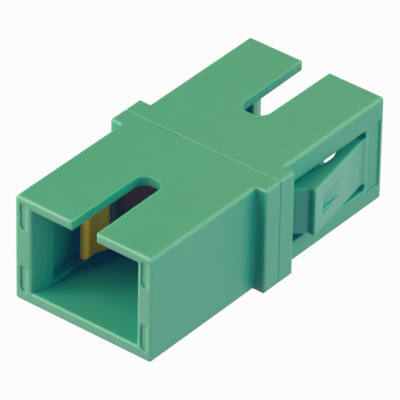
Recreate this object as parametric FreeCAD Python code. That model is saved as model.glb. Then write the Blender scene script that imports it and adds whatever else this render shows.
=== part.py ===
"""SC simplex fibre adapter with moulded panel latches, in millimetres.

X is the width, Y is the plug axis (the front mouth faces -Y) and Z is up.
The origin is the centre of the adapter, on the optical axis, in the plane
where the two housing halves are welded together.
"""
import FreeCAD, Part
import os

from FreeCAD import Vector

# Outer form of the housing
BODY_WIDTH = 13.25
BODY_HEIGHT = 9.45
HALF_LENGTH = 14.18
BODY_EDGE_RADIUS = 0.25
MOUTH_EDGE_RADIUS = 0.13
FLANGE_WIDTH = 15.27
FLANGE_HALF_THICKNESS = 1.73
FLANGE_EDGE_RADIUS = 0.15
SEAM_CHAMFER = 0.07

# Plug and the cavity that guides it
PLUG_WIDTH = 9.0
PLUG_HEIGHT = 7.4
PLUG_CLEARANCE = 0.05
PORT_OFFSET = 0.08
ROOF_CLEARANCE = 0.19
MOUTH_WIDTH = 10.48
LEAD_IN_LENGTH = 1.3
GUIDE_LAND_LENGTH = 0.7
GUIDE_FLARE = 0.12
KEY_SLOT_LENGTH = 8.38
KEY_SLOT_CORNER_RADIUS = 1.05
FRONT_SLOT_MOUTH_WIDTH = 2.42
FRONT_SLOT_END_WIDTH = 2.32
REAR_SLOT_MOUTH_WIDTH = 2.7
REAR_SLOT_END_WIDTH = 2.5

# Side pockets in which the connector hooks flex
SIDE_WALL = 1.225
POCKET_HEIGHT = 6.6

# Ejector marks on the mouth faces
MARK_WIDTH = 0.6
MARK_HEIGHT = 2.32
MARK_DEPTH = 0.1
MARK_SPREAD = 11.76
MARK_SPACING = 5.74
MARK_LIFT = 0.12
MARK_CORNER_RADIUS = 0.1
MARK_LOWER_CORNER_RADIUS = 0.45

# Windows of the panel latches, in the rear half
WINDOW_HEIGHT = 5.66
WINDOW_DROP = 0.1
WINDOW_END_GAP = 2.13
WINDOW_NUB_PLACE = 4.5
WINDOW_NUB_LENGTH = 0.45
WINDOW_NUB_HEIGHT = 0.25
WINDOW_NUB_DEPTH = 0.35
SIDE_RECESS_LENGTH = 1.55
SIDE_RECESS_HEIGHT = 6.15
SIDE_RECESS_DROP = 0.22
SIDE_RECESS_DEPTH = 0.1
SIDE_RECESS_END_GAP = 0.33

# Panel latch arm
PANEL_THICKNESS_MAX = 2.12
LATCH_HEIGHT = 4.2
LATCH_SLOT_REACH = 0.45
LATCH_RISE = 1.425
LATCH_ROOT_THICKNESS = 0.95
LATCH_HEAD_INSET = 0.69
LATCH_HEAD_LENGTH = 3.15
LATCH_RELIEF_INSET = 0.36
LATCH_RELIEF_LENGTH = 1.35
LATCH_NECK_LENGTH = 1.55
LATCH_NECK_RADIUS = 0.9
LATCH_STEP = 0.65
LATCH_TONGUE_LENGTH = 1.0
LATCH_TONGUE_SLANT = 0.9
LATCH_EDGE_RADIUS = 0.1
THUMB_RECESS_LENGTH = 2.7
THUMB_RECESS_HEIGHT = 1.8
THUMB_RECESS_START = 1.3
THUMB_STEP_HEIGHT = 0.22
THUMB_STEP_DEPTH = 0.22

# Latch carriers
CARRIER_PLATE_THICKNESS = 1.3
CARRIER_CLEARANCE = 0.05
CARRIER_SHOULDER = 0.3
CARRIER_SHOULDER_RISE = 0.2
HOOK_HEIGHT = 5.2
HOOK_THICKNESS = 0.6
HOOK_FLEX_ROOM = 1.1
HOOK_TIP_TO_MOUTH = 4.68
HOOK_NOSE_LENGTH = 1.6
HOOK_RAMP_LENGTH = 0.7
HOOK_BARB_DEPTH = 0.4
HOOK_BARB_LAND = 0.2
HOOK_TIP_RADIUS = 0.25
HOOK_EDGE_RADIUS = 0.1
HOOK_RIB_GAP = 0.6
HOOK_RIB_LENGTH = 0.45
HOOK_RIB_DEPTH = 0.25
HOOK_RIB_RADIUS = 0.12

# Alignment sleeve and its holder tubes
FERRULE_DIAMETER = 2.5
SLEEVE_WALL = 0.35
SLEEVE_LENGTH = 11.4
SLEEVE_SLIT = 0.5
SLEEVE_CLEARANCE = 0.04
SLEEVE_END_PLAY = 0.1
HOLDER_WALL = 0.66
HOLDER_LIP_THICKNESS = 0.5
HOLDER_LIP_CLEARANCE = 0.2
HOLDER_END_CHAMFER = 0.2

OVERCUT = 1.0

# Places worked out from the sizes above
HALF_WIDTH = BODY_WIDTH / 2
HALF_HEIGHT = BODY_HEIGHT / 2
CAVITY_HALF_WIDTH = PLUG_WIDTH / 2 + PLUG_CLEARANCE
CAVITY_HALF_HEIGHT = PLUG_HEIGHT / 2 + PLUG_CLEARANCE
CAVITY_ROOF = PLUG_HEIGHT / 2 + ROOF_CLEARANCE
POCKET_HALF_WIDTH = HALF_WIDTH - SIDE_WALL
GUIDE_START = HALF_LENGTH - LEAD_IN_LENGTH
POCKET_START = GUIDE_START - GUIDE_LAND_LENGTH
KEY_SLOT_END = HALF_LENGTH - KEY_SLOT_LENGTH
SEAT_HALF_WIDTH = POCKET_HALF_WIDTH + CARRIER_SHOULDER
SEAT_HALF_HEIGHT = CAVITY_HALF_HEIGHT + CARRIER_SHOULDER_RISE
HOOK_OUTER = POCKET_HALF_WIDTH - HOOK_FLEX_ROOM
HOOK_TIP = HALF_LENGTH - HOOK_TIP_TO_MOUTH
WINDOW_END = HALF_LENGTH - WINDOW_END_GAP
LATCH_ROOT = WINDOW_END - LATCH_SLOT_REACH
LATCH_STEP_PLACE = FLANGE_HALF_THICKNESS + PANEL_THICKNESS_MAX
SLEEVE_RADIUS = FERRULE_DIAMETER / 2 + SLEEVE_WALL
HOLDER_BORE_RADIUS = SLEEVE_RADIUS + SLEEVE_CLEARANCE
HOLDER_BORE_END = SLEEVE_LENGTH / 2 + SLEEVE_END_PLAY


def block(x_range, y_range, z_range):
    """Box between two values on each axis."""
    size = [high - low for low, high in (x_range, y_range, z_range)]
    return Part.makeBox(*size, Vector(x_range[0], y_range[0], z_range[0]))


def centred_block(half_width, y_range, half_height):
    """Box that is centred on the optical axis."""
    return block((-half_width, half_width), y_range, (-half_height, half_height))


def mirrored_x(shape):
    return shape.mirror(Vector(0, 0, 0), Vector(1, 0, 0))


def mirrored_y(shape):
    return shape.mirror(Vector(0, 0, 0), Vector(0, 1, 0))


def turned_round(shape):
    """Copy turned half a turn about the vertical axis."""
    copy = shape.copy()
    copy.rotate(Vector(0, 0, 0), Vector(0, 0, 1), 180)
    return copy


def edges_along(shape, direction, keep):
    """Straight edges parallel to a direction whose centre passes a test."""
    found = []
    for edge in shape.Edges:
        start = edge.Vertexes[0].Point
        end = edge.Vertexes[-1].Point
        run = end.sub(start)
        if run.Length < 1e-6:
            continue
        if run.cross(direction).Length < 1e-6 * run.Length and keep(edge.CenterOfMass):
            found.append(edge)
    return found


def plate_from_outline(points, z_range):
    """Solid of a flat outline in the XY plane, raised along Z."""
    corners = [Vector(x, y, z_range[0]) for x, y in points]
    face = Part.Face(Part.makePolygon(corners + corners[:1]))
    return face.extrude(Vector(0, 0, z_range[1] - z_range[0]))


def frame_section(y, half_width, bottom, top, middle=0.0):
    """Rectangular section of the cavity at one place along the plug axis."""
    corners = [
        Vector(middle - half_width, y, bottom),
        Vector(middle + half_width, y, bottom),
        Vector(middle + half_width, y, top),
        Vector(middle - half_width, y, top),
    ]
    return Part.makePolygon(corners + corners[:1])


def tapered(section_a, section_b):
    return Part.makeLoft([section_a, section_b], True, True)


def outer_half():
    """Closed outer form of the front half: body with rounded edges and half a flange."""
    body = centred_block(HALF_WIDTH, (-HALF_LENGTH, 0), HALF_HEIGHT)
    rounded = edges_along(body, Vector(0, 1, 0), lambda centre: True)
    body = body.makeFillet(BODY_EDGE_RADIUS, rounded)
    flange = centred_block(FLANGE_WIDTH / 2, (-FLANGE_HALF_THICKNESS, 0), HALF_HEIGHT)
    rounded = edges_along(flange, Vector(0, 1, 0), lambda centre: True)
    rounded += edges_along(flange, Vector(0, 0, 1), lambda centre: centre.y < -1e-6)
    flange = flange.makeFillet(FLANGE_EDGE_RADIUS, rounded)
    half = body.fuse(flange).removeSplitter()
    seam = [edge for edge in half.Edges if abs(edge.CenterOfMass.y) < 1e-6]
    return half.makeChamfer(SEAM_CHAMFER, seam)


def plug_cavity():
    """Space for the plug and hooks in the front half."""
    floor = -CAVITY_HALF_HEIGHT
    guide = -GUIDE_START
    pocket = -POCKET_START
    seat = -CARRIER_PLATE_THICKNESS
    flared = frame_section(guide, CAVITY_HALF_WIDTH + GUIDE_FLARE, floor, CAVITY_ROOF)
    lead_in = tapered(frame_section(-HALF_LENGTH, MOUTH_WIDTH / 2, floor, CAVITY_ROOF, PORT_OFFSET), flared)
    guide_land = tapered(flared, frame_section(pocket, CAVITY_HALF_WIDTH, floor, CAVITY_ROOF))
    guided = block((-CAVITY_HALF_WIDTH, CAVITY_HALF_WIDTH), (pocket, seat), (floor, CAVITY_ROOF))
    pockets = centred_block(POCKET_HALF_WIDTH, (pocket, seat), POCKET_HEIGHT / 2)
    plate_seat = centred_block(SEAT_HALF_WIDTH, (seat, OVERCUT), SEAT_HALF_HEIGHT)
    return lead_in.multiFuse([guide_land, guided, pockets, plate_seat]).removeSplitter()


def key_slot(mouth_width, end_width, middle):
    """Slot in the roof for the key of the plug, open at the mouth and a little wider there."""
    mouth = -HALF_LENGTH
    end = -KEY_SLOT_END
    outline = [
        (middle - mouth_width / 2, mouth - OVERCUT),
        (middle + mouth_width / 2, mouth - OVERCUT),
        (middle + mouth_width / 2, mouth),
        (middle + end_width / 2, end),
        (middle - end_width / 2, end),
        (middle - mouth_width / 2, mouth),
    ]
    slot = plate_from_outline(outline, (0, HALF_HEIGHT + OVERCUT))
    inner_corners = edges_along(slot, Vector(0, 0, 1), lambda centre: centre.y > end - 1e-6)
    return slot.makeFillet(KEY_SLOT_CORNER_RADIUS, inner_corners)


def mouth_mark(x, z):
    """Shallow ejector mark on the mouth face, about one place."""
    left = x - MARK_WIDTH / 2
    bottom = z - MARK_HEIGHT / 2
    mark = block(
        (left, left + MARK_WIDTH),
        (-HALF_LENGTH - OVERCUT, -HALF_LENGTH + MARK_DEPTH),
        (bottom, bottom + MARK_HEIGHT),
    )
    along = Vector(0, 1, 0)
    lower_left = edges_along(mark, along, lambda centre: centre.x < x and centre.z < z)
    mark = mark.makeFillet(MARK_LOWER_CORNER_RADIUS, lower_left)
    others = edges_along(mark, along, lambda centre: centre.z > z or centre.x > x)
    return mark.makeFillet(MARK_CORNER_RADIUS, others)


def mouth_marks():
    """Ejector marks above each other on both side walls."""
    return [
        mouth_mark(side * MARK_SPREAD / 2, MARK_LIFT + level * MARK_SPACING / 2)
        for side in (-1, 1)
        for level in (-1, 1)
    ]


def housing_half(slot):
    """Front half of the housing with one of the key slots."""
    half = outer_half().cut([plug_cavity(), slot])
    mouth_edges = [edge for edge in half.Edges if edge.CenterOfMass.y < -HALF_LENGTH + 1e-6]
    return half.makeFillet(MOUTH_EDGE_RADIUS, mouth_edges).cut(mouth_marks())


def latch_window():
    """Right-hand window behind the flange: two slots free the latch arm, one with a small nub."""
    across = (CAVITY_HALF_WIDTH - OVERCUT, HALF_WIDTH + OVERCUT)
    half = WINDOW_HEIGHT / 2
    window = block(
        across,
        (FLANGE_HALF_THICKNESS, WINDOW_END),
        (-WINDOW_DROP - half, -WINDOW_DROP + half),
    )
    slot_width = (WINDOW_HEIGHT - LATCH_HEIGHT) / 2
    ends = edges_along(window, Vector(1, 0, 0), lambda centre: centre.y > WINDOW_END - 1e-6)
    window = window.makeFillet(slot_width / 2, ends)
    root = block(
        across,
        (LATCH_ROOT, WINDOW_END + OVERCUT),
        (-WINDOW_DROP - LATCH_HEIGHT / 2, -WINDOW_DROP + LATCH_HEIGHT / 2),
    )
    top = -WINDOW_DROP + half
    nub_start = FLANGE_HALF_THICKNESS + WINDOW_NUB_PLACE
    nub = block(
        (HALF_WIDTH - WINDOW_NUB_DEPTH, HALF_WIDTH),
        (nub_start, nub_start + WINDOW_NUB_LENGTH),
        (top - WINDOW_NUB_HEIGHT, top + OVERCUT),
    )
    return window.cut([root, nub])


def side_recess():
    """Shallow recess in the right-hand wall beside the rear mouth."""
    end = HALF_LENGTH - SIDE_RECESS_END_GAP
    return block(
        (HALF_WIDTH - SIDE_RECESS_DEPTH, HALF_WIDTH + OVERCUT),
        (end - SIDE_RECESS_LENGTH, end),
        (-SIDE_RECESS_DROP - SIDE_RECESS_HEIGHT / 2, -SIDE_RECESS_DROP + SIDE_RECESS_HEIGHT / 2),
    )


def front_housing_half():
    return housing_half(key_slot(FRONT_SLOT_MOUTH_WIDTH, FRONT_SLOT_END_WIDTH, PORT_OFFSET))


def rear_housing_half():
    """Half turned round to face the rear, with the windows of the panel latches."""
    half = turned_round(housing_half(key_slot(REAR_SLOT_MOUTH_WIDTH, REAR_SLOT_END_WIDTH, 0.0)))
    window = latch_window()
    recess = side_recess()
    return half.cut([window, mirrored_x(window), recess, mirrored_x(recess)])


def latch_slope():
    """Sideways rise of the latch's outer face for each millimetre towards the flange."""
    return LATCH_RISE / (LATCH_ROOT - LATCH_STEP_PLACE)


def thumb_recess():
    """Recess in the slanted face, whose lower wall is a small step."""
    start = LATCH_STEP_PLACE + THUMB_RECESS_START
    end = start + THUMB_RECESS_LENGTH
    floor = HALF_WIDTH + latch_slope() * (LATCH_ROOT - end)
    outside = HALF_WIDTH + LATCH_RISE + OVERCUT
    bottom = -WINDOW_DROP - THUMB_RECESS_HEIGHT / 2
    step = bottom + THUMB_STEP_HEIGHT
    upper = block((floor, outside), (start, end), (step, bottom + THUMB_RECESS_HEIGHT))
    lower = block((floor + THUMB_STEP_DEPTH, outside), (start, end), (bottom, step))
    return upper.fuse(lower)


def panel_latch():
    """Right-hand panel latch: a slanted arm with a step that catches behind the panel."""
    peak = HALF_WIDTH + LATCH_RISE
    shelf = peak - LATCH_STEP
    root_inner = HALF_WIDTH - LATCH_ROOT_THICKNESS
    head_inner = HALF_WIDTH - LATCH_HEAD_INSET
    relief_inner = HALF_WIDTH - LATCH_RELIEF_INSET
    tongue_end = LATCH_STEP_PLACE - LATCH_TONGUE_LENGTH
    relief_start = LATCH_STEP_PLACE + LATCH_HEAD_LENGTH
    neck_start = relief_start + LATCH_RELIEF_LENGTH
    outline = [
        (root_inner, LATCH_ROOT),
        (HALF_WIDTH, LATCH_ROOT),
        (peak, LATCH_STEP_PLACE),
        (shelf, LATCH_STEP_PLACE),
        (shelf - LATCH_TONGUE_SLANT, tongue_end),
        (relief_inner, tongue_end),
        (head_inner, LATCH_STEP_PLACE),
        (head_inner, relief_start),
        (relief_inner, relief_start),
        (relief_inner, neck_start),
        (root_inner, neck_start + LATCH_NECK_LENGTH),
    ]
    half = LATCH_HEIGHT / 2
    arm = plate_from_outline(outline, (-WINDOW_DROP - half, -WINDOW_DROP + half))
    bends = edges_along(
        arm,
        Vector(0, 0, 1),
        lambda centre: centre.x < HALF_WIDTH and neck_start - 1e-6 < centre.y < LATCH_ROOT - 1e-6,
    )
    arm = arm.makeFillet(LATCH_NECK_RADIUS, bends)
    softened = [
        edge
        for edge in arm.Edges
        if edge.CenterOfMass.y < LATCH_ROOT - 1e-6 and edge.CenterOfMass.x > HALF_WIDTH
        and abs(edge.CenterOfMass.z + WINDOW_DROP) > half - 1e-6
    ]
    return arm.makeFillet(LATCH_EDGE_RADIUS, softened).cut(thumb_recess())


def connector_hook():
    """Front right hook: a flat arm with a barb that snaps onto the plug."""
    inner = HOOK_OUTER - HOOK_THICKNESS
    barb = inner - HOOK_BARB_DEPTH
    ramp_start = HOOK_TIP - HOOK_NOSE_LENGTH
    land_start = ramp_start - HOOK_RAMP_LENGTH
    catch = land_start - HOOK_BARB_LAND
    rib_start = catch - HOOK_RIB_GAP
    rib_end = rib_start - HOOK_RIB_LENGTH
    outline = [
        (HOOK_OUTER, -CARRIER_PLATE_THICKNESS),
        (inner, -CARRIER_PLATE_THICKNESS),
        (inner, -rib_end),
        (inner - HOOK_RIB_DEPTH, -rib_end),
        (inner - HOOK_RIB_DEPTH, -rib_start),
        (inner, -rib_start),
        (inner, -catch),
        (barb, -catch),
        (barb, -land_start),
        (inner, -ramp_start),
        (inner, -HOOK_TIP),
        (HOOK_OUTER, -HOOK_TIP),
    ]
    hook = plate_from_outline(outline, (-HOOK_HEIGHT / 2, HOOK_HEIGHT / 2))
    tips = edges_along(hook, Vector(0, 0, 1), lambda centre: centre.y < -HOOK_TIP + 1e-6)
    hook = hook.makeFillet(HOOK_TIP_RADIUS, tips)
    rib_edges = edges_along(
        hook,
        Vector(0, 0, 1),
        lambda centre: -rib_start - 1e-6 < centre.y < -rib_end + 1e-6 and centre.x < inner - 1e-6,
    )
    hook = hook.makeFillet(HOOK_RIB_RADIUS, rib_edges)
    softened = [
        edge
        for edge in hook.Edges
        if edge.CenterOfMass.y < -ramp_start and abs(edge.CenterOfMass.z) > HOOK_HEIGHT / 2 - 1e-6
    ]
    return hook.makeFillet(HOOK_EDGE_RADIUS, softened)


def latch_carrier():
    """Front carrier: the plate in the housing's seat and the tube that holds the sleeve."""
    plate = centred_block(
        SEAT_HALF_WIDTH - CARRIER_CLEARANCE,
        (-CARRIER_PLATE_THICKNESS, 0),
        SEAT_HALF_HEIGHT - CARRIER_CLEARANCE,
    )
    towards_mouth = Vector(0, -1, 0)
    holder_end = HOLDER_BORE_END + HOLDER_LIP_THICKNESS
    tube = Part.makeCylinder(HOLDER_BORE_RADIUS + HOLDER_WALL, holder_end, Vector(0, 0, 0), towards_mouth)
    rim = [edge for edge in tube.Edges if edge.CenterOfMass.y < -holder_end + 1e-6]
    tube = tube.makeChamfer(HOLDER_END_CHAMFER, rim)
    sleeve_bore = Part.makeCylinder(HOLDER_BORE_RADIUS, HOLDER_BORE_END, Vector(0, 0, 0), towards_mouth)
    ferrule_hole = Part.makeCylinder(
        FERRULE_DIAMETER / 2 + HOLDER_LIP_CLEARANCE, holder_end, Vector(0, 0, 0), towards_mouth
    )
    return plate.fuse(tube).cut([sleeve_bore, ferrule_hole]).removeSplitter()


def alignment_sleeve():
    """Split sleeve that lines the two ferrules up."""
    start = Vector(0, -SLEEVE_LENGTH / 2, 0)
    along = Vector(0, 1, 0)
    sleeve = Part.makeCylinder(SLEEVE_RADIUS, SLEEVE_LENGTH, start, along)
    bore = Part.makeCylinder(FERRULE_DIAMETER / 2, SLEEVE_LENGTH, start, along)
    slit = block(
        (-SLEEVE_SLIT / 2, SLEEVE_SLIT / 2),
        (-SLEEVE_LENGTH / 2, SLEEVE_LENGTH / 2),
        (0, SLEEVE_RADIUS + OVERCUT),
    )
    return sleeve.cut([bore, slit])


def build_nodes():
    """Every piece of the adapter by name."""
    carrier = latch_carrier()
    latch = panel_latch()
    hook = connector_hook()
    return {
        "front_housing": front_housing_half(),
        "rear_housing": rear_housing_half(),
        "front_latch_carrier": carrier,
        "rear_latch_carrier": mirrored_y(carrier),
        "alignment_sleeve": alignment_sleeve(),
        "panel_latch_right": latch,
        "panel_latch_left": mirrored_x(latch),
        "front_right_hook": hook,
        "front_left_hook": mirrored_x(hook),
        "rear_right_hook": mirrored_y(hook),
        "rear_left_hook": turned_round(hook),
    }


def main():
    os.makedirs("parts", exist_ok=True)
    for name, shape in build_nodes().items():
        shape.exportStep("parts/" + name + ".step")
        print(name, "volume %.2f mm3" % shape.Volume, "solids", len(shape.Solids), "valid", shape.isValid())


main()
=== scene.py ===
import math

import bpy
from mathutils import Matrix, Vector


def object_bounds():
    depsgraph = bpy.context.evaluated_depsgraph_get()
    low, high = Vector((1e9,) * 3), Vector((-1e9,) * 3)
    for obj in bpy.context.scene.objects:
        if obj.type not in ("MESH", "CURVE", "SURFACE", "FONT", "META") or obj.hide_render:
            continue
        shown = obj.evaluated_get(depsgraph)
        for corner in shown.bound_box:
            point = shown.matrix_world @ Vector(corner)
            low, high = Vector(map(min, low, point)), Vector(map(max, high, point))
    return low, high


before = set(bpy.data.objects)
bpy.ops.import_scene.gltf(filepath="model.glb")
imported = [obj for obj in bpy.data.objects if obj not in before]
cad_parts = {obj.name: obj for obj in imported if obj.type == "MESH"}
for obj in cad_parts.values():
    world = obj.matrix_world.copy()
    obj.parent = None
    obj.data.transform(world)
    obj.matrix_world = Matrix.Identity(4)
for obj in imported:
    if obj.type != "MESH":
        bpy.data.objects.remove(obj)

CAD_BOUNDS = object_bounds()
MM = 0.001

# Camera, about the centre of the adapter
CAMERA_AZIMUTH = math.radians(38.2)
CAMERA_ELEVATION = math.radians(34.85)
CAMERA_ROLL = math.radians(1.037)
CAMERA_DISTANCE = 433.52 * MM
CAMERA_TARGET = Vector((0.030, -0.187, -0.235)) * MM
CAMERA_SENSOR = 36.0
CAMERA_LENS = 509.04
CAMERA_NEAR = 10.0 * MM
CAMERA_FAR = 10000.0 * MM

# Lamps: name, azimuth, elevation, size in mm, power in watts, colour, seen in gloss
LAMPS = [
    ("front_left_box", -30, 45, 180, 0.8, (0.88, 0.82, 0.76), True),
    ("left_low_box", -55, 12, 160, 0.8, (1.22, 0.98, 1.04), True),
    ("rear_right_box", 130, 35, 180, 0.8, (0.43, 0.72, 0.70), True),
    ("right_box", 80, 35, 180, 0.8, (0.00, 0.08, 0.10), False),
    ("right_low_box", 75, 10, 120, 0.8, (0.02, 0.36, 0.52), False),
    ("rear_box", 180, 45, 180, 0.8, (0.46, 0.20, 0.12), True),
]
LAMP_DISTANCE = 300.0 * MM
FILL_COLOUR = (0.86, 0.93, 1.0, 1.0)
FILL_STRENGTH = 0.02

# Share of plain white that shows in the sky and on the floor
SKY_WHITE = 1.0
MIRRORED_SKY_WHITE = 0.2
FLOOR_WHITE = 0.96
FLOOR_HALF_SIZE = 1000.0 * MM
FLOOR_GREY = (0.25, 0.25, 0.25, 1.0)
FLOOR_ROUGHNESS = 0.9

# Colours, linear. A veil is a faint painted glow, light of the material's own, that keeps the deepest
# shade off black.
WHITE = (1.0, 1.0, 1.0, 1.0)
HOUSING_GREEN = (0.036, 0.325, 0.143, 1.0)
HOUSING_GREEN_DEEP = (0.033, 0.315, 0.137, 1.0)
# Painted highlight: the paler green for edges, for faces made paler as a sheen, and for the witness
# lines.
HOUSING_GREEN_HIGHLIGHT = (0.22, 0.38, 0.25, 1.0)
# Painted shade: the green that corners and hollows take.
HOUSING_GREEN_SHADE = (0.012, 0.36, 0.20, 1.0)
AMBER = (0.90, 0.47, 0.05, 1.0)
AMBER_DEEP = (0.80, 0.38, 0.03, 1.0)
# Painted highlight: the paler amber for edges.
AMBER_HIGHLIGHT = (1.00, 0.66, 0.09, 1.0)
# Painted shade: grey, then purple, taken by the amber towards the roots of the hooks.
ROOT_SHADE_GREY = (0.07, 0.10, 0.16, 1.0)
ROOT_SHADE_PURPLE = (0.020, 0.012, 0.030, 1.0)
IVORY = (0.86, 0.84, 0.79, 1.0)
IVORY_DEEP = (0.80, 0.78, 0.72, 1.0)
VEIL = (0.002, 0.004, 0.026, 1.0)
VEIL_DEEP = (0.002, 0.005, 0.034, 1.0)
AMBER_VEIL = (0.024, 0.018, 0.008, 1.0)
# Painted highlight: a glow on the tips of the hooks.
AMBER_TIP_HIGHLIGHT_GLOW = (0.110, 0.085, 0.010, 1.0)
# Painted glow in the painted shade of the hook roots.
ROOT_SHADE_VEIL = (0.007, 0.012, 0.026, 1.0)
ROOT_DEEP_SHADE_VEIL = (0.022, 0.017, 0.026, 1.0)

# Where a look changes: start and end in mm, as distances from the middle of the adapter.
# Across the adapter (X):
OUTER_SIDES = (4.0, 5.0)
FLANGE_SIDES = (6.7, 7.4)
LATCH_SIDES = (6.6, 7.1)
# Along the adapter (Y):
OUTER_ENDS = (13.0, 13.5)
MOUTH_FACES = (13.9, 14.1)
SEAM_FOR_ROUNDING = (0.12, 0.35)
SEAM_FOR_SHADE = (0.05, 0.15)
SEAM_FOR_SHINE = (0.03, 0.10)
WITNESS_LINE = (1.57, 1.71)
# Along the hooks: the tip zone takes a painted highlight glow, and the three zones after it darken the
# amber towards the roots as painted shade.
HOOK_TIP = (8.9, 9.47)
HOOK_SHADE = (7.05, 6.9)
HOOK_PURPLE = (6.0, 5.85)
HOOK_ROOT = (5.4, 4.2)

# Rounding and corners
MOUTH_ROUNDING_SHARE = 0.7
EDGE_TURN = (math.radians(3), math.radians(45))
OPEN_TO_CORNER = (1.0, 0.35)
SIDEWAYS = (0.6, 0.9)
BROKEN_LINE = (0.45, 0.60)


class Material:
    """A node material on one Principled shader, built step by step."""

    def __init__(self, name, roughness, specular=0.5, ior=1.5):
        self.material = bpy.data.materials.new(name)
        self.material.use_nodes = True
        self.tree = self.material.node_tree
        self.shader = self.tree.nodes["Principled BSDF"]
        self.shader.inputs["Roughness"].default_value = roughness
        self.shader.inputs["Specular IOR Level"].default_value = specular
        self.shader.inputs["IOR"].default_value = ior
        coordinates = self.tree.nodes.new("ShaderNodeTexCoord")
        self.place = coordinates.outputs["Object"]
        self.direction = coordinates.outputs["Normal"]
        self.rounded = None

    def link(self, output, socket):
        self.tree.links.new(output, socket)

    # Values

    def calculated(self, operation, *values):
        node = self.tree.nodes.new("ShaderNodeMath")
        node.operation = operation
        for socket, value in zip(node.inputs, values):
            self.link(value, socket)
        return node.outputs["Value"]

    def scaled(self, value, source, low, high, clamp=True):
        """Value moved from a source range to the range from low to high."""
        node = self.tree.nodes.new("ShaderNodeMapRange")
        node.clamp = clamp
        node.inputs["From Min"].default_value = source[0]
        node.inputs["From Max"].default_value = source[1]
        node.inputs["To Min"].default_value = low
        node.inputs["To Max"].default_value = high
        self.link(value, node.inputs["Value"])
        return node.outputs["Result"]

    def noise(self, size_mm, detail=2.0):
        """Noise whose features are about one size across, in millimetres."""
        node = self.tree.nodes.new("ShaderNodeTexNoise")
        node.inputs["Scale"].default_value = 1.0 / (size_mm * MM)
        node.inputs["Detail"].default_value = detail
        self.link(self.place, node.inputs["Vector"])
        return node.outputs["Fac"]

    def length_along(self, axis, vector):
        """Length of a vector's part along one axis, without its sign."""
        apart = self.tree.nodes.new("ShaderNodeSeparateXYZ")
        self.link(vector, apart.inputs["Vector"])
        return self.calculated("ABSOLUTE", apart.outputs[axis])

    def zone(self, axis, reach_mm, low=0.0, high=1.0):
        """Changes from low to high between two distances from the middle along one axis."""
        distance = self.length_along(axis, self.place)
        return self.scaled(self.scaled(distance, (0.0, MM), 0.0, 1.0, clamp=False), reach_mm, low, high)

    def band(self, axis, reach_mm, soft_mm):
        """One between two distances from the middle and zero beyond them."""
        start, end = reach_mm
        return self.calculated(
            "MINIMUM",
            self.zone(axis, (start, start + soft_mm)),
            self.zone(axis, (end, end - soft_mm)),
        )

    def off_seam(self, reach_mm, least):
        """One everywhere but in the weld seam at mid length."""
        return self.zone("Y", reach_mm, least)

    def facing(self, axis):
        """One on faces that look along one axis, either way, and zero on faces turned well off it."""
        return self.scaled(self.length_along(axis, self.direction), SIDEWAYS, 0.0, 1.0)

    def corner_shade(self, reach_mm, samples=6):
        """How much nearby walls close in on a place: zero in the open, one in a corner."""
        node = self.tree.nodes.new("ShaderNodeAmbientOcclusion")
        node.samples = samples
        node.inputs["Distance"].default_value = reach_mm * MM
        return self.scaled(node.outputs["AO"], OPEN_TO_CORNER, 0.0, 1.0)

    def edge_mask(self, most):
        """Zero on flat faces, up to a share on sharp edges, from how far the rounded normal turns."""
        flat = self.tree.nodes.new("ShaderNodeNewGeometry").outputs["True Normal"]
        product = self.tree.nodes.new("ShaderNodeVectorMath")
        product.operation = "DOT_PRODUCT"
        self.link(self.rounded, product.inputs[0])
        self.link(flat, product.inputs[1])
        turn = self.calculated("ARCCOSINE", product.outputs["Value"])
        return self.scaled(turn, EDGE_TURN, 0.0, most)

    def witness_line_highlights(self, most):
        """Broken pale hair lines across the body beside the flange: a painted highlight where the mould's
        witness step catches the light.
        """
        line = self.band("Y", WITNESS_LINE, soft_mm=0.05)
        broken = self.scaled(self.noise(4.0), BROKEN_LINE, 0.0, most)
        return self.calculated("MULTIPLY", line, broken)

    # Colours

    def ramp(self, factor, colour_a, colour_b, low=0.3, high=0.7):
        node = self.tree.nodes.new("ShaderNodeValToRGB")
        node.color_ramp.elements[0].position = low
        node.color_ramp.elements[0].color = colour_a
        node.color_ramp.elements[1].position = high
        node.color_ramp.elements[1].color = colour_b
        self.link(factor, node.inputs["Fac"])
        return node.outputs["Color"]

    def blended(self, factor, colour, other):
        """Colour with a share of a second, fixed colour."""
        node = self.tree.nodes.new("ShaderNodeMix")
        node.data_type = "RGBA"
        node.inputs["B"].default_value = other
        self.link(factor, node.inputs["Factor"])
        self.link(colour, node.inputs["A"])
        return node.outputs["Result"]

    # What the shader gets

    def base_colour(self, colour):
        self.link(colour, self.shader.inputs["Base Color"])

    def glow(self, colour):
        """Painted glow: a faint light of its own, used to keep the deepest shade off black and, on the
        hook tips, as a painted highlight.
        """
        self.link(colour, self.shader.inputs["Emission Color"])
        self.shader.inputs["Emission Strength"].default_value = 1.0

    def shine(self, value):
        self.link(value, self.shader.inputs["Specular IOR Level"])

    def vary_roughness(self, factor, low, high):
        self.link(self.scaled(factor, (0.0, 1.0), low, high), self.shader.inputs["Roughness"])

    def scatter(self, share, depth_mm, spread):
        """Lets light travel under the surface, further for some colours."""
        self.shader.inputs["Subsurface Weight"].default_value = share
        self.shader.inputs["Subsurface Scale"].default_value = depth_mm * MM
        self.shader.inputs["Subsurface Radius"].default_value = spread

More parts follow.
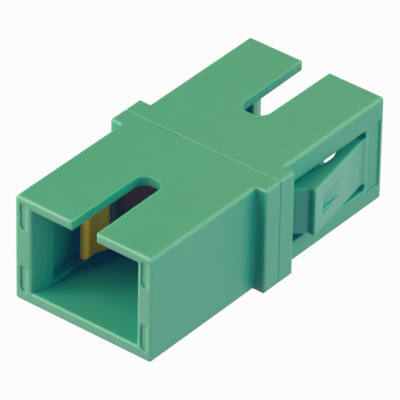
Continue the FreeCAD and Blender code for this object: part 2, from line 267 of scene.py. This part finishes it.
    def round_edges(self, inner_mm, outer_mm, samples=4):
        """Shades sharp edges as if they were rounded, most on the outside, and not in the weld seam."""
        outside = self.calculated(
            "MAXIMUM",
            self.zone("X", OUTER_SIDES, inner_mm * MM, outer_mm * MM),
            self.zone("Y", OUTER_ENDS, inner_mm * MM, MOUTH_ROUNDING_SHARE * outer_mm * MM),
        )
        radius = self.calculated("MULTIPLY", outside, self.off_seam(SEAM_FOR_ROUNDING, 0.0))
        node = self.tree.nodes.new("ShaderNodeBevel")
        node.samples = samples
        self.link(radius, node.inputs["Radius"])
        self.rounded = node.outputs["Normal"]
        self.link(self.rounded, self.shader.inputs["Normal"])

    def bump(self, height, depth_mm, strength):
        node = self.tree.nodes.new("ShaderNodeBump")
        node.inputs["Distance"].default_value = depth_mm * MM
        node.inputs["Strength"].default_value = strength
        self.link(height, node.inputs["Height"])
        if self.rounded:
            self.link(self.rounded, node.inputs["Normal"])
        self.link(node.outputs["Normal"], self.shader.inputs["Normal"])


def housing_plastic(name, sheen_sides, most_sheen):
    """Satin moulded plastic: faint flow variation, pale edges that are a painted highlight, and a fine
    spark-eroded grain.

    Faces that look sideways and stand proud of the body, and the faces round the mouths, are painted
    paler as a sheen of reflected light.
    """
    plastic = Material(name, roughness=0.5, specular=0.85, ior=1.6)
    plastic.round_edges(inner_mm=0.07, outer_mm=0.42)
    # Painted shade: corners and hollows take the shade green, less shine and a deeper veil glow.
    corner = plastic.calculated(
        "MULTIPLY",
        plastic.corner_shade(reach_mm=8.0),
        plastic.off_seam(SEAM_FOR_SHADE, least=0.0),
    )
    body = plastic.ramp(plastic.noise(6.0), HOUSING_GREEN, HOUSING_GREEN_DEEP)
    # Painted highlight: sharp edges are coloured paler, as if catching the light.
    edge_highlighted = plastic.blended(plastic.edge_mask(most=0.5), body, HOUSING_GREEN_HIGHLIGHT)
    # Painted sheen: proud sideways faces and the mouth faces are coloured paler, as if reflecting light.
    proud = plastic.zone("X", sheen_sides, high=most_sheen)
    painted_sheen = plastic.calculated(
        "MAXIMUM",
        plastic.calculated("MULTIPLY", proud, plastic.facing("X")),
        plastic.zone("Y", MOUTH_FACES, high=0.12),
    )
    # Painted highlight along the witness lines.
    pale = plastic.calculated("MAXIMUM", painted_sheen, plastic.witness_line_highlights(most=0.3))
    lightened = plastic.blended(pale, edge_highlighted, HOUSING_GREEN_HIGHLIGHT)
    plastic.base_colour(plastic.blended(corner, lightened, HOUSING_GREEN_SHADE))
    open_shine = plastic.scaled(corner, (0.0, 1.0), 0.85, 0.1)
    plastic.shine(plastic.calculated("MULTIPLY", open_shine, plastic.off_seam(SEAM_FOR_SHINE, least=0.4)))
    plastic.vary_roughness(plastic.noise(0.9), 0.44, 0.56)
    plastic.scatter(share=0.8, depth_mm=0.9, spread=(0.12, 1.0, 0.5))
    plastic.glow(plastic.ramp(corner, VEIL, VEIL_DEEP, 0.0, 1.0))
    plastic.bump(plastic.noise(0.09, detail=3.0), depth_mm=0.004, strength=0.5)
    return plastic.material


def amber_plastic():
    """Glossy translucent amber resin with painted highlights on its edges and hook tips, darkened to grey
    and then purple towards the roots of the hooks as painted shade.
    """
    resin = Material("carrier_amber", roughness=0.28, specular=0.6)
    resin.round_edges(inner_mm=0.25, outer_mm=0.25)
    # Painted shade: the amber greys and then turns purple towards the hook roots, deep in the housing.
    root_shaded = resin.zone("Y", HOOK_SHADE)
    amber = resin.ramp(resin.noise(3.0), AMBER, AMBER_DEEP)
    # Painted highlight: edges are coloured paler amber.
    edge_highlighted = resin.blended(resin.edge_mask(most=0.8), amber, AMBER_HIGHLIGHT)
    shade_greyed = resin.blended(root_shaded, edge_highlighted, ROOT_SHADE_GREY)
    resin.base_colour(resin.blended(resin.zone("Y", HOOK_PURPLE), shade_greyed, ROOT_SHADE_PURPLE))
    resin.vary_roughness(resin.noise(0.6), 0.24, 0.34)
    resin.scatter(share=0.7, depth_mm=0.4, spread=(1.0, 0.55, 0.1))
    veil = resin.ramp(root_shaded, AMBER_VEIL, ROOT_SHADE_VEIL, 0.0, 1.0)
    veil = resin.blended(resin.zone("Y", HOOK_ROOT), veil, ROOT_DEEP_SHADE_VEIL)
    # Painted highlight: the hook tips glow brighter.
    resin.glow(resin.blended(resin.band("Y", HOOK_TIP, soft_mm=0.15), veil, AMBER_TIP_HIGHLIGHT_GLOW))
    resin.bump(resin.noise(0.25), depth_mm=0.004, strength=0.4)
    return resin.material


def sleeve_ceramic():
    """Polished white zirconia with fine grinding marks."""
    ceramic = Material("sleeve_ceramic", roughness=0.15, specular=0.7)
    ceramic.base_colour(ceramic.ramp(ceramic.noise(2.0), IVORY, IVORY_DEEP))
    ceramic.vary_roughness(ceramic.noise(0.3), 0.10, 0.22)
    ceramic.bump(ceramic.noise(0.05), depth_mm=0.001, strength=0.3)
    return ceramic.material


def dress_nodes():
    """Gives each CAD node its material."""
    green = housing_plastic("housing_green", FLANGE_SIDES, most_sheen=0.2)
    green_latch = housing_plastic("latch_green", LATCH_SIDES, most_sheen=0.6)
    amber = amber_plastic()
    ceramic = sleeve_ceramic()
    for name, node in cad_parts.items():
        if name.endswith("housing"):
            material = green
        elif name.startswith("panel_latch"):
            material = green_latch
        elif name == "alignment_sleeve":
            material = ceramic
        else:
            material = amber
        node.data.materials.clear()
        node.data.materials.append(material)


def direction_of(azimuth, elevation):
    """Unit vector from the adapter, with azimuth zero in front of the near mouth."""
    level = math.cos(elevation)
    return Vector((math.sin(azimuth) * level, -math.cos(azimuth) * level, math.sin(elevation)))


def look_at(location, target):
    return (target - location).to_track_quat("-Z", "Y").to_matrix().to_4x4()


def add_camera():
    data = bpy.data.cameras.new("camera")
    data.sensor_width = CAMERA_SENSOR
    data.lens = CAMERA_LENS
    data.clip_start = CAMERA_NEAR
    data.clip_end = CAMERA_FAR
    camera = bpy.data.objects.new("camera", data)
    bpy.context.scene.collection.objects.link(camera)
    location = CAMERA_TARGET + direction_of(CAMERA_AZIMUTH, CAMERA_ELEVATION) * CAMERA_DISTANCE
    turned = look_at(location, CAMERA_TARGET) @ Matrix.Rotation(CAMERA_ROLL, 4, "Z")
    camera.matrix_world = Matrix.Translation(location) @ turned
    bpy.context.scene.camera = camera


def add_area_lamp(name, azimuth, elevation, size_mm, watts, colour, in_gloss):
    """Square lamp that faces the adapter from a direction given in degrees."""
    data = bpy.data.lights.new(name, "AREA")
    data.shape = "SQUARE"
    data.size = size_mm * MM
    data.energy = watts
    data.color = colour
    lamp = bpy.data.objects.new(name, data)
    lamp.visible_glossy = in_gloss
    bpy.context.scene.collection.objects.link(lamp)
    location = direction_of(math.radians(azimuth), math.radians(elevation)) * LAMP_DISTANCE
    lamp.matrix_world = Matrix.Translation(location) @ look_at(location, Vector((0.0, 0.0, 0.0)))


def seen_share(nodes, links, camera_share, mirror_share):
    """Share of plain white that the camera sees, straight or in a shiny or clear surface."""
    path = nodes.new("ShaderNodeLightPath")
    total = None
    for output, share in (
        ("Is Camera Ray", camera_share),
        ("Is Glossy Ray", mirror_share),
        ("Is Transmission Ray", mirror_share),
    ):
        part = nodes.new("ShaderNodeMath")
        part.operation = "MULTIPLY"
        part.inputs[1].default_value = share
        links.new(path.outputs[output], part.inputs[0])
        if total is None:
            total = part.outputs["Value"]
            continue
        larger = nodes.new("ShaderNodeMath")
        larger.operation = "MAXIMUM"
        links.new(total, larger.inputs[0])
        links.new(part.outputs["Value"], larger.inputs[1])
        total = larger.outputs["Value"]
    return total


def add_lights():
    world = bpy.data.worlds.new("studio")
    bpy.context.scene.world = world
    world.use_nodes = True
    nodes = world.node_tree.nodes
    links = world.node_tree.links
    fill = nodes["Background"]
    fill.inputs["Color"].default_value = FILL_COLOUR
    fill.inputs["Strength"].default_value = FILL_STRENGTH
    seen = nodes.new("ShaderNodeBackground")
    seen.inputs["Color"].default_value = WHITE
    mix = nodes.new("ShaderNodeMixShader")
    links.new(seen_share(nodes, links, SKY_WHITE, MIRRORED_SKY_WHITE), mix.inputs["Fac"])
    links.new(fill.outputs["Background"], mix.inputs[1])
    links.new(seen.outputs["Background"], mix.inputs[2])
    links.new(mix.outputs["Shader"], nodes["World Output"].inputs["Surface"])
    for lamp in LAMPS:
        add_area_lamp(*lamp)


def floor_paint():
    """Plain grey that looks nearly white to the camera and in reflections."""
    material = bpy.data.materials.new("floor_grey")
    material.use_nodes = True
    nodes = material.node_tree.nodes
    links = material.node_tree.links
    plain = nodes["Principled BSDF"]
    plain.inputs["Base Color"].default_value = FLOOR_GREY
    plain.inputs["Roughness"].default_value = FLOOR_ROUGHNESS
    glow = nodes.new("ShaderNodeEmission")
    mix = nodes.new("ShaderNodeMixShader")
    links.new(seen_share(nodes, links, FLOOR_WHITE, FLOOR_WHITE), mix.inputs["Fac"])
    links.new(plain.outputs["BSDF"], mix.inputs[1])
    links.new(glow.outputs["Emission"], mix.inputs[2])
    links.new(mix.outputs["Shader"], nodes["Material Output"].inputs["Surface"])
    return material


def add_floor():
    """Floor under the adapter. It takes shadows and throws none."""
    size = FLOOR_HALF_SIZE
    mesh = bpy.data.meshes.new("floor")
    corners = [(-size, -size, 0.0), (size, -size, 0.0), (size, size, 0.0), (-size, size, 0.0)]
    mesh.from_pydata(corners, [], [(0, 1, 2, 3)])
    mesh.materials.append(floor_paint())
    floor = bpy.data.objects.new("floor", mesh)
    bpy.context.scene.collection.objects.link(floor)
    floor.location.z = CAD_BOUNDS[0][2]
    floor.visible_shadow = False


bpy.context.scene.view_settings.view_transform = "Standard"
add_camera()
add_lights()
add_floor()
dress_nodes()
